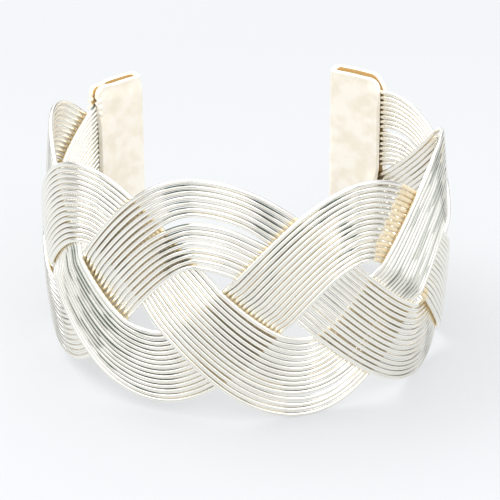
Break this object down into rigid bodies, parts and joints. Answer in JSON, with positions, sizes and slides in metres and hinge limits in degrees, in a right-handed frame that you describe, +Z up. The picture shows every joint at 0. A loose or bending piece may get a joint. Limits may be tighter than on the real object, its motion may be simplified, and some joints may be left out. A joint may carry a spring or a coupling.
{
  "type": "woven cuff bracelet",
  "caption": "Open cuff bracelet of flat wire ribbons plaited as a wide braid, crimped at both ends into folded sheet caps.",
  "frame": {"origin": "centre of the bounding box's underside, on the surface that the cuff stands on", "axes": "+Z up along the wrist's axis, +X across the cuff's width, -Y towards the front of the braid, +Y through the gap between the caps"},
  "size_m": [0.0648, 0.0546, 0.0407],
  "materials": {
    "wires": "polished silver plate",
    "caps": "satin, warm champagne tone"
  },
  "bodies": {
    "root": {"strand_1": "wires", "strand_2": "wires", "strand_3": "wires", "end_cap_left": "caps", "end_cap_right": "caps"}
  },
  "joints": []
}
